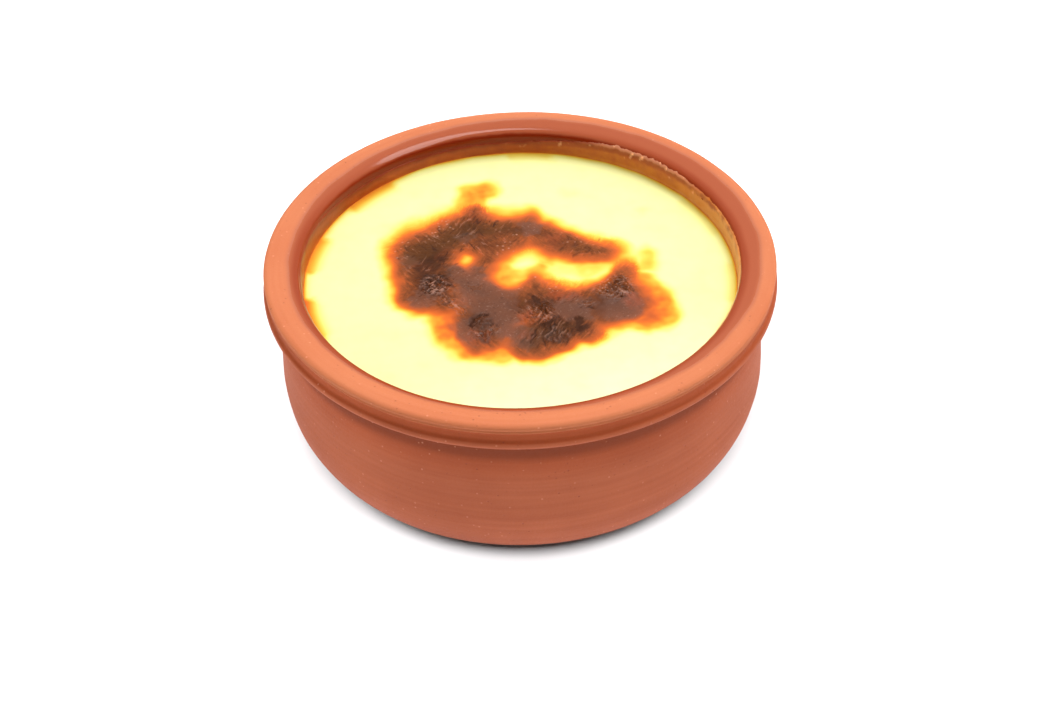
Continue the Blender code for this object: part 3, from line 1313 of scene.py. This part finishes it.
@dataclass
class ClayBowl:
    """The turned clay bowl. Sizes are in millimetres."""

    height: float
    outer_radius: float = 60.0
    foot_radius: float = 44.5
    belly: Point = (57.2, 18.4)
    neck: Point = (56.6, 38.4)
    crown_radius: float = 58.2
    edge_radius: float = 59.6
    edge_drop: float = 0.75
    strip_drop: float = 1.6
    band_radius: float = 59.15
    bead_radius: float = 1.1
    bead_height: float = 41.0
    bead_highlight_limit: float = 43.0
    undercut: Point = (57.5, 39.4)
    lip: tuple[Point, ...] = (
        (50.9, 39.3), (51.0, 41.5), (51.1, 43.2), (51.25, 44.3), (51.55, 44.95),
        (52.1, 45.35), (53.0, 45.62), (54.2, 45.85), (55.4, 46.03), (56.7, 46.22),
    )
    wall_low: Point = (50.5, 20.0)
    floor_thickness: float = 6.0
    floor_radius: float = 34.0
    segments: int = 512
    glaze_radius: float = 55.1
    glaze_lean: float = 1.45
    glaze_lean_deg: float = 45.0
    # Middle and half width of stretches of the wall, in degrees
    near_stretch: Span = (270.0, 80.0)
    thin_stretch: Span = (105.0, 70.0)
    shade_stretch: Span = (110.0, 66.0)
    side_stretch: Span = (45.0, 45.0)
    # Heights or radii between which a field fades in; flank_band is measured down from the top
    shaded_lip_band: Span = (53.8, 52.2)
    flank_band: Span = (1.5, 2.1)
    pool_and_shade_band: Span = (45.25, 44.6)
    belly_sheen_band: Span = (36.0, 25.0)
    bead_highlight_band: Span = (59.5, 60.0)
    neck_shade_top_band: Span = (40.4, 39.4)
    neck_shade_low_band: Span = (32.5, 35.8)
    foot_shadow_band: Span = (5.0, 3.9)
    finish: ClayFinish = field(default_factory=ClayFinish)

    def inside(self) -> list[Point]:
        """Return the section from the middle of the floor up to the level of the pudding.

        Returns:
            Radius and height of each point.
        """
        floor = (self.floor_radius, self.floor_thickness)
        corner = (self.wall_low[0] - self.floor_radius, self.wall_low[1] - self.floor_thickness)
        return (
            straight((0.0, self.floor_thickness), floor, 2)
            + arc((self.floor_radius, self.wall_low[1]), corner, -90.0, 0.0, 8)
            + straight(self.wall_low, self.lip[0], 3)
        )

    def mouth(self) -> list[Point]:
        """Return the section up the wall, round the throat and over the tilted top face."""
        return flowing([*self.lip, (self.crown_radius, self.height)], 4)

    def collar(self) -> list[Point]:
        """Return the section over the edge, the strip, the band and the bead.

        Returns:
            Radius and height of each point.
        """
        edge_height = self.height - self.edge_drop
        edge_size = (self.edge_radius - self.crown_radius, self.edge_drop)
        strip = self.height - self.strip_drop
        side = [
            (self.edge_radius - 0.12, edge_height + 0.43),
            (self.edge_radius, edge_height + 0.14),
            (self.edge_radius - 0.04, edge_height - 0.20),
            (self.edge_radius - 0.28, edge_height - 0.42),
            (self.edge_radius - 0.08, strip),
            (self.edge_radius - 0.12, strip - 0.22),
            (self.band_radius, strip - 0.52),
            (self.band_radius - 0.10, strip - 1.2),
            (self.band_radius, self.bead_height + self.bead_radius + 0.25),
        ]
        bead_size = (self.bead_radius, self.bead_radius)
        return (
            arc((self.crown_radius, edge_height), edge_size, 84.0, 62.0, 6)
            + flowing(side, 4)
            + arc((self.outer_radius - self.bead_radius, self.bead_height), bead_size, 62.0, -80.0, 12)
        )

    def outside(self) -> list[Point]:
        """Return the section from the undercut down to the middle of the underside.

        Returns:
            Radius and height of each point.
        """
        foot_size = (self.belly[0] - self.foot_radius, self.belly[1])
        drop = self.neck[1] - self.belly[1]
        marks = [
            (self.outer_radius - self.bead_radius - 0.3, self.bead_height - self.bead_radius - 0.1),
            (self.undercut[0] + 0.3, self.undercut[1] + 0.25),
            (self.undercut[0] - 0.4, self.undercut[1] - 0.4),
            self.neck,
            (self.neck[0] + 0.10, self.neck[1] - 0.28 * drop),
            (self.neck[0] + 0.42, self.neck[1] - 0.66 * drop),
            self.belly,
        ]
        return (
            flowing(marks, 6)
            + arc((self.foot_radius, self.belly[1]), foot_size, 0.0, -90.0, 34)[1:]
            + straight((self.foot_radius, 0.0), (0.0, 0.0), 2)
        )

    def wall_radius(self, height: Array) -> Array:
        """Return the radius of the wall above the pudding at each height."""
        marks = np.array(self.mouth())
        return np.interp(height, marks[:, 1], marks[:, 0])

    def fields(self, radius: Array, height: Array, angle: Array, inner: Array) -> dict[str, Array]:
        """Return every field that the finish reads: the glaze inside with painted shade at the lip and
        throat, and painted shade and sheen outside.

        Args:
            radius: Radius of each point.
            height: Height of each point.
            angle: Angle of each point about the axis.
            inner: 1 on the inside and the top face, 0 on the outside.

        Returns:
            The fields by name.
        """
        across, along = np.cos(angle), np.sin(angle)
        waver = 0.30 * Grain(31).layers(across * 5.0, along * 5.0, 2)
        lean = self.glaze_lean * np.cos(angle - math.radians(self.glaze_lean_deg))
        glaze_end = self.glaze_radius + lean + waver - 0.6 * spread(angle, *self.near_stretch)
        glaze = smoothstep(1.0, -1.0, radius - glaze_end)
        # Painted shade on the inner lip, fading in towards the throat and weaker at the back-left
        thinned = 1.0 - 0.7 * spread(angle, *self.thin_stretch)
        shaded_lip = smoothstep(*self.shaded_lip_band, radius + 0.5 * waver) * thinned
        drip = 0.12 * Grain(36).layers(across * 14.0, along * 14.0, 3)
        # Painted shade with the glaze pool: strongest on the back wall and at the right
        shaded = 0.10 + spread(angle, *self.shade_stretch) + 0.35 * spread(angle, *self.side_stretch)
        pooled_and_shaded = smoothstep(*self.pool_and_shade_band, height + drip) * np.clip(shaded, 0.0, 1.0)
        # Painted highlight: the bead's top, under the collar, takes the lighter belly colours
        bead_highlight = smoothstep(*self.bead_highlight_band, radius) * (height < self.bead_highlight_limit)
        return {
            "glaze": glaze * inner,
            # Painted shade on the inner lip
            "shaded_lip": shaded_lip * inner,
            # The throat's glaze pool with painted shade
            "pooled_and_shaded": pooled_and_shaded * smoothstep(38.0, 40.0, height) * inner,
            # Painted shade: the outside is darker than the top face
            "flank": smoothstep(*self.flank_band, self.height - height) * (1.0 - inner),
            # Painted sheen on the lower belly and painted highlight on the bead
            "belly": np.maximum(smoothstep(*self.belly_sheen_band, height), bead_highlight),
            # Painted contact shadow at the bottom of the belly
            "foot": smoothstep(*self.foot_shadow_band, height) * (1.0 - inner),
            # Painted shade under the collar
            "neck": smoothstep(*self.neck_shade_top_band, height) * smoothstep(*self.neck_shade_low_band, height),
        }

    def uneven(self, radius: Array, height: Array, angle: Array) -> tuple[Array, Array]:
        """Return the section with the slight unevenness of a turned pot.

        Args:
            radius: Radius of each point.
            height: Height of each point.
            angle: Angle of each point about the axis.

        Returns:
            The new radius and the new height.
        """
        across, along = np.cos(angle), np.sin(angle)
        raised = smoothstep(1.0, 8.0, height) * smoothstep(10.0, 30.0, radius)
        oval = 0.10 * Grain(32).at(across * 1.3 + 5.0, along * 1.3 + height / 40.0) - 0.06
        rings = 0.020 * Grain(33).layers(height / 1.9 + radius / 1.9, across * 0.8 + along * 0.3, 2)
        dents = 0.045 * Grain(34).at(across * 5.0 + height / 9.0, along * 5.0)
        crown = 0.05 * Grain(35).at(across * 2.0, along * 2.0 + 9.0) - 0.04
        return radius + raised * (oval + rings + dents), height + crown * smoothstep(42.0, 46.0, height)

    def build(self) -> bpy.types.Object:
        """Build the bowl, dress it and put it on its body.

        Returns:
            The piece.
        """
        runs = [self.inside() + self.mouth(), self.collar() + self.outside()]
        section = np.array(runs[0] + runs[1])
        within = np.repeat([1.0, 0.0], [len(runs[0]), len(runs[1])])
        count = len(section)
        angle = np.linspace(0.0, 2.0 * math.pi, self.segments, endpoint=False)
        radius = np.repeat(section[:, 0], self.segments)
        height = np.repeat(section[:, 1], self.segments)
        turn = np.tile(angle, count)
        wide, high = self.uneven(radius, height, turn)
        points = np.stack([wide * np.cos(turn), wide * np.sin(turn), high], axis=1)
        ends = np.array([[0.0, 0.0, self.floor_thickness], [0.0, 0.0, 0.0]])
        starts = [i * self.segments for i in range(count)]
        rings = [ring_faces(first, second, self.segments) for first, second in zip(starts, starts[1:])]
        here = np.arange(self.segments)
        after = (here + 1) % self.segments
        last = starts[-1]
        floor_end = np.full_like(here, count * self.segments)
        floor_fan = np.stack([floor_end, here, after, floor_end], axis=1)
        base_fan = np.stack([last + after, last + here, floor_end + 1, last + after], axis=1)
        fields = self.fields(wide, high, turn, np.repeat(within, self.segments))
        fields = {label: np.append(values, [values[0], values[-1]]) for label, values in fields.items()}
        faces = np.concatenate(rings + [floor_fan, base_fan])
        piece = make_piece("clay_bowl", np.concatenate([points, ends]) * MM, faces, fields)
        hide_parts("bowl")
        return dress(piece, self.finish.build())


@dataclass
class SetPudding:
    """The set pudding with its baked skin. Sizes are in millimetres."""

    level: float = 39.3
    edge_radius: float = 51.15
    bottom: float = 5.9
    corner_radius: float = 34.0
    corner_height: float = 20.0
    cells: int = 300
    skin: Skin = field(default_factory=Skin)
    finish: PuddingFinish = field(default_factory=PuddingFinish)

    def disc(self) -> tuple[Array, Array]:
        """Return a square net of points spread over the disc, closer together in its middle.

        Returns:
            Both coordinates of the points, as square arrays.
        """
        line = np.linspace(-1.0, 1.0, self.cells + 1)
        across, along = np.meshgrid(line, line)
        most = np.maximum(np.abs(across), np.abs(along))
        wide = np.abs(across) >= np.abs(along)
        flat_ratio = along / np.where(across == 0.0, 1.0, across)
        steep_ratio = across / np.where(along == 0.0, 1.0, along)
        turn = np.where(wide, flat_ratio, steep_ratio) * math.pi / 4.0
        side_x = np.where(wide, np.sign(across) * np.cos(turn), np.sign(along) * np.sin(turn))
        side_y = np.where(wide, np.sign(across) * np.sin(turn), np.sign(along) * np.cos(turn))
        reach = self.edge_radius * (0.84 * most + 0.16 * most**4)
        return reach * side_x, reach * side_y

    def border(self) -> Array:
        """Return the numbers of the net's outer points, in order round the disc.

        Returns:
            One number for each outer point.
        """
        side = self.cells
        rows = np.arange((side + 1) ** 2).reshape(side + 1, side + 1)
        return np.concatenate([rows[0, :-1], rows[:-1, -1], rows[-1, :0:-1], rows[:0:-1, 0]])

    def build(self) -> bpy.types.Object:
        """Build the pudding, dress it and put it on its body.

        Returns:
            The piece.
        """
        x, y = self.disc()
        flat_x, flat_y = x.ravel(), y.ravel()
        top = np.stack([flat_x, flat_y, self.level + self.skin.rise(flat_x, flat_y)], axis=1)
        fields = self.skin.fields(flat_x, flat_y)
        numbers = np.arange(top.shape[0]).reshape(x.shape)
        corners = [numbers[:-1, :-1], numbers[:-1, 1:], numbers[1:, 1:], numbers[1:, :-1]]
        net = np.stack(corners, axis=-1).reshape(-1, 4)
        border = self.border()
        rim_x, rim_y = flat_x[border] / self.edge_radius, flat_y[border] / self.edge_radius
        corner = (self.edge_radius - self.corner_radius, self.corner_height - self.bottom)
        section = arc((self.corner_radius, self.corner_height), corner, 0.0, -90.0, 5)
        rings = [np.stack([rim_x * r, rim_y * r, np.full_like(rim_x, z)], axis=1) for r, z in section]
        points = np.concatenate([top] + rings + [np.array([[0.0, 0.0, self.bottom]])])
        starts = [top.shape[0] + i * len(border) for i in range(len(section))]
        after = np.roll(np.arange(len(border)), -1)
        here = np.arange(len(border))
        skirt = np.stack([border, starts[0] + here, starts[0] + after, border[after]], axis=1)
        walls = [ring_faces(first, second, len(border)) for first, second in zip(starts, starts[1:])]
        middle = np.full_like(here, points.shape[0] - 1)
        base = np.stack([starts[-1] + after, starts[-1] + here, middle, starts[-1] + after], axis=1)
        hidden = points.shape[0] - top.shape[0]
        fields = {label: np.append(values, np.zeros(hidden)) for label, values in fields.items()}
        faces = np.concatenate([net, skirt] + walls + [base])
        piece = make_piece("set_pudding", points * MM, faces, fields)
        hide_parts("pudding")
        return dress(piece, self.finish.build())


@dataclass
class MilkFilm:
    """Milk that dried on the wall above the pudding, with a ragged upper edge. Millimetres."""

    bowl: ClayBowl
    level: float = 39.3
    reach: float = 5.5
    thickness: float = 0.14
    segments: int = 1200
    rows: int = 14
    # Middle and half width of stretches of the wall, in degrees
    golden_right: Span = (-5.0, 55.0)
    golden_left: Span = (195.0, 62.0)
    lit_stretch: Span = (50.0, 26.0)
    torn_stretch: Span = (45.0, 55.0)
    ragged_stretch: Span = (45.0, 60.0)
    tawny_stretch: Span = (20.0, 80.0)
    # Painted shade on the film at the left
    left_shade_stretch: Span = (178.0, 55.0)
    low_stretch: Span = (114.0, 56.0)
    finish: FilmFinish = field(default_factory=FilmFinish)

    def top(self, angle: Array) -> Array:
        """Return the height of the film's ragged upper edge.

        Args:
            angle: Angle of each point about the axis.

        Returns:
            The height, in millimetres.
        """
        across, along = np.cos(angle), np.sin(angle)
        ragged = spread(angle, *self.ragged_stretch)
        broad = 0.15 * Grain(41).layers(across * 4.0, along * 4.0, 2)
        torn = 0.30 * ragged * Grain(42).layers(across * 30.0, along * 30.0, 3)
        return self.level + self.reach + broad + torn - 1.9 * spread(angle, *self.low_stretch)

    def build(self) -> bpy.types.Object:
        """Build the film, dress it and put it on its body.

        Returns:
            The piece.
        """
        angle = np.linspace(0.0, 2.0 * math.pi, self.segments, endpoint=False)
        across, along = np.cos(angle), np.sin(angle)
        golden = 0.95 * spread(angle, *self.golden_right) + 0.22 * spread(angle, *self.golden_left)
        golden = np.clip(golden, 0.0, 1.0)
        lit = 0.8 * spread(angle, *self.lit_stretch)
        torn = spread(angle, *self.torn_stretch)
        tawny = 0.25 * spread(angle, *self.tawny_stretch)
        # Painted shade: the film is darkened at the left
        left_shade = 0.20 * spread(angle, *self.left_shade_stretch)
        bottom, top = self.level - 0.5, self.top(angle)
        shares = np.linspace(0.0, 1.0, self.rows)
        rings = []
        fields: dict[str, list[Array]] = {"crust": [], "lip": [], "blotch": []}
        for share in shares:
            height = bottom + (top - bottom) * share
            swell = 0.05 * Grain(43).layers(across * 20.0, along * 20.0 + height, 3)
            bead = 0.10 * ease(0.16, 0.03, abs(share - 0.93)) * (0.3 + lit)
            stand = (self.thickness + swell + bead) * ease(1.0, 0.94, share)
            radius = self.bowl.wall_radius(height) - np.maximum(stand, 0.0)
            rings.append(np.stack([radius * across, radius * along, height], axis=1))
            rise = ease(1.0, 0.55, share) * (1.0 - golden) + golden
            foot = 0.5 * ease(0.35, 0.05, share)
            fields["crust"].append(rise * (0.34 + tawny + 0.40 * golden + foot) + 1.2 * swell - left_shade)
            flecks = smoothstep(0.52, 0.80, Grain(45).layers(across * 30.0, along * 30.0 + height * 0.4, 2))
            # Painted highlight: a pale line along the upper edge, stronger where lit, and painted reflection
            # flecks at the torn stretch
            line = ease(0.12, 0.03, abs(share - 0.95))
            pale = line * lit * (0.4 + 0.6 * flecks) + 0.5 * torn * flecks * float(share > 0.6)
            fields["lip"].append(np.clip(pale, 0.0, 1.0))
            fields["blotch"].append(ease(0.60, 0.8, share) * ease(0.98, 0.90, share) * torn)
        for share in shares[::-1]:
            height = bottom + (top - bottom) * share
            radius = self.bowl.wall_radius(height) + 0.3
            rings.append(np.stack([radius * across, radius * along, height], axis=1))
            for values in fields.values():
                values.append(np.zeros_like(angle))
        count = len(rings)
        starts = [i * self.segments for i in range(count)]
        faces = [ring_faces(starts[i], starts[(i + 1) % count], self.segments) for i in range(count)]
        joined = {label: np.concatenate(values) for label, values in fields.items()}
        piece = make_piece("milk_film", np.concatenate(rings) * MM, np.concatenate(faces), joined)
        return dress(piece, self.finish.build())


class Receiver(Enum):
    """What a light falls on."""

    OBJECT = "object"
    FLOOR = "floor"


@dataclass(frozen=True)
class Softbox:
    """A large soft light that faces the bowl. Its size is in metres and its glow is 1 for white."""

    name: str
    place: tuple[float, float, float]
    size: Point
    glow: float
    mirrored: bool = False
    receiver: Receiver = Receiver.OBJECT

    def build(self, aim: Vector, groups: dict[Receiver, bpy.types.Collection]) -> bpy.types.Object:
        """Build the light, turned towards the aim.

        Args:
            aim: The point that it faces.
            groups: What each kind of receiver is.

        Returns:
            The light.
        """
        lamp = bpy.data.lights.new(self.name, "AREA")
        lamp.shape = "RECTANGLE"
        lamp.size, lamp.size_y = self.size
        lamp.energy = self.glow * math.pi * self.size[0] * self.size[1]
        light = bpy.data.objects.new(self.name, lamp)
        light.location = self.place
        light.rotation_euler = (aim - Vector(self.place)).to_track_quat("-Z", "Y").to_euler()
        light.visible_camera = False
        light.visible_glossy = self.mirrored
        light.light_linking.receiver_collection = groups[self.receiver]
        bpy.context.scene.collection.objects.link(light)
        return light


@dataclass
class Studio:
    """The pale floor, the soft lights and the camera. Sizes are in metres."""

    camera_distance: float = 0.576
    camera_elevation_deg: float = 40.5
    camera_roll_deg: float = 1.5
    camera_aim: tuple[float, float, float] = (-0.0009, 0.0, 0.0145)
    lens: float = 82.9
    sensor_width: float = 36.0
    floor_size: float = 6.0
    world_strength: float = 0.22
    lights: tuple[Softbox, ...] = (
        Softbox("back_box", (0.15, 1.05, 0.80), (2.0, 1.2), 1.7),
        Softbox("top_box", (0.10, 0.25, 1.20), (1.5, 1.3), 2.38),
        Softbox("front_box", (0.0, -0.85, 0.95), (1.6, 0.8), 0.42),
        Softbox("left_box", (-1.10, 0.15, 0.22), (1.2, 0.6), 2.5),
        Softbox("right_box", (1.10, 0.20, 0.36), (1.2, 0.8), 1.85),
        Softbox("sheen_box", (0.10, 1.00, 0.90), (1.8, 1.2), 0.40, mirrored=True),
        Softbox("long_box", (0.34, 0.26, 1.10), (1.0, 0.30), 7.5, mirrored=True),
        Softbox("floor_box", (0.0, -0.60, 1.05), (1.0, 0.5), 15.0, receiver=Receiver.FLOOR),
        Softbox("floor_left_box", (-1.0, 0.15, 0.8), (0.8, 0.8), 10.0, receiver=Receiver.FLOOR),
        Softbox("floor_right_box", (1.0, 0.15, 0.8), (0.8, 0.8), 10.0, receiver=Receiver.FLOOR),
        Softbox("floor_far_box", (0.0, 1.20, 1.00), (2.0, 1.0), 2.7, receiver=Receiver.FLOOR),
    )

    def floor(self) -> bpy.types.Object:
        """Build the floor just under the foot of the bowl.

        Returns:
            The floor.
        """
        half = self.floor_size / 2.0
        mesh = bpy.data.meshes.new("studio_floor")
        corners = [(-half, -half, 0.0), (half, -half, 0.0), (half, half, 0.0), (-half, half, 0.0)]
        mesh.from_pydata(corners, [], [(0, 1, 2, 3)])
        mesh.materials.append(FloorFinish().build())
        floor = bpy.data.objects.new("studio_floor", mesh)
        floor.location.z = CAD_LOW.z - 0.1 * MM
        bpy.context.scene.collection.objects.link(floor)
        return floor

    def camera(self) -> bpy.types.Object:
        """Build the camera, above and in front, rolled slightly.

        Returns:
            The camera.
        """
        rise = math.radians(self.camera_elevation_deg)
        roll = math.radians(self.camera_roll_deg)
        back = Vector((0.0, -math.cos(rise), math.sin(rise)))
        right = Vector((1.0, 0.0, 0.0))
        up = back.cross(right)
        side = right * math.cos(roll) - up * math.sin(roll)
        head = right * math.sin(roll) + up * math.cos(roll)
        lens = bpy.data.cameras.new("camera")
        lens.lens = self.lens
        lens.sensor_width = self.sensor_width
        lens.clip_start = 0.01
        camera = bpy.data.objects.new("camera", lens)
        turned = Matrix((side, head, back)).transposed().to_4x4()
        spot = Vector(self.camera_aim) + back * self.camera_distance
        camera.matrix_world = Matrix.Translation(spot) @ turned
        bpy.context.scene.collection.objects.link(camera)
        bpy.context.scene.camera = camera
        return camera

    def build(self) -> None:
        """Build the whole studio."""
        floor = self.floor()
        self.camera()
        groups = {receiver: bpy.data.collections.new(receiver.value) for receiver in Receiver}
        for group in groups.values():
            group.objects.link(floor)
        groups[Receiver.OBJECT].collection_objects[0].light_linking.link_state = "EXCLUDE"
        aim = Vector((0.0, 0.0, CAD_HIGH.z / 2.0))
        for softbox in self.lights:
            softbox.build(aim, groups)
        world = bpy.data.worlds.new("studio")
        world.use_nodes = True
        world.node_tree.nodes["Background"].inputs["Color"].default_value = (1.0, 1.0, 1.0, 1.0)
        world.node_tree.nodes["Background"].inputs["Strength"].default_value = self.world_strength
        world.cycles_visibility.glossy = False
        bpy.context.scene.world = world
        bpy.context.scene.view_settings.view_transform = "Standard"


def report(piece: bpy.types.Object) -> None:
    """Say what was built and how fine its mesh is."""
    LOG.info("%s: %d faces", piece.name, len(piece.data.polygons))


def main() -> None:
    """Build the studio, the bowl, the pudding and the dried milk, in that order."""
    logging.basicConfig(level=logging.INFO, format="%(name)s: %(message)s")
    Studio().build()
    bowl = ClayBowl(height=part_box("bowl")[1][2] / MM)
    report(bowl.build())
    report(SetPudding().build())
    report(MilkFilm(bowl).build())


if __name__ == "__main__":
    main()
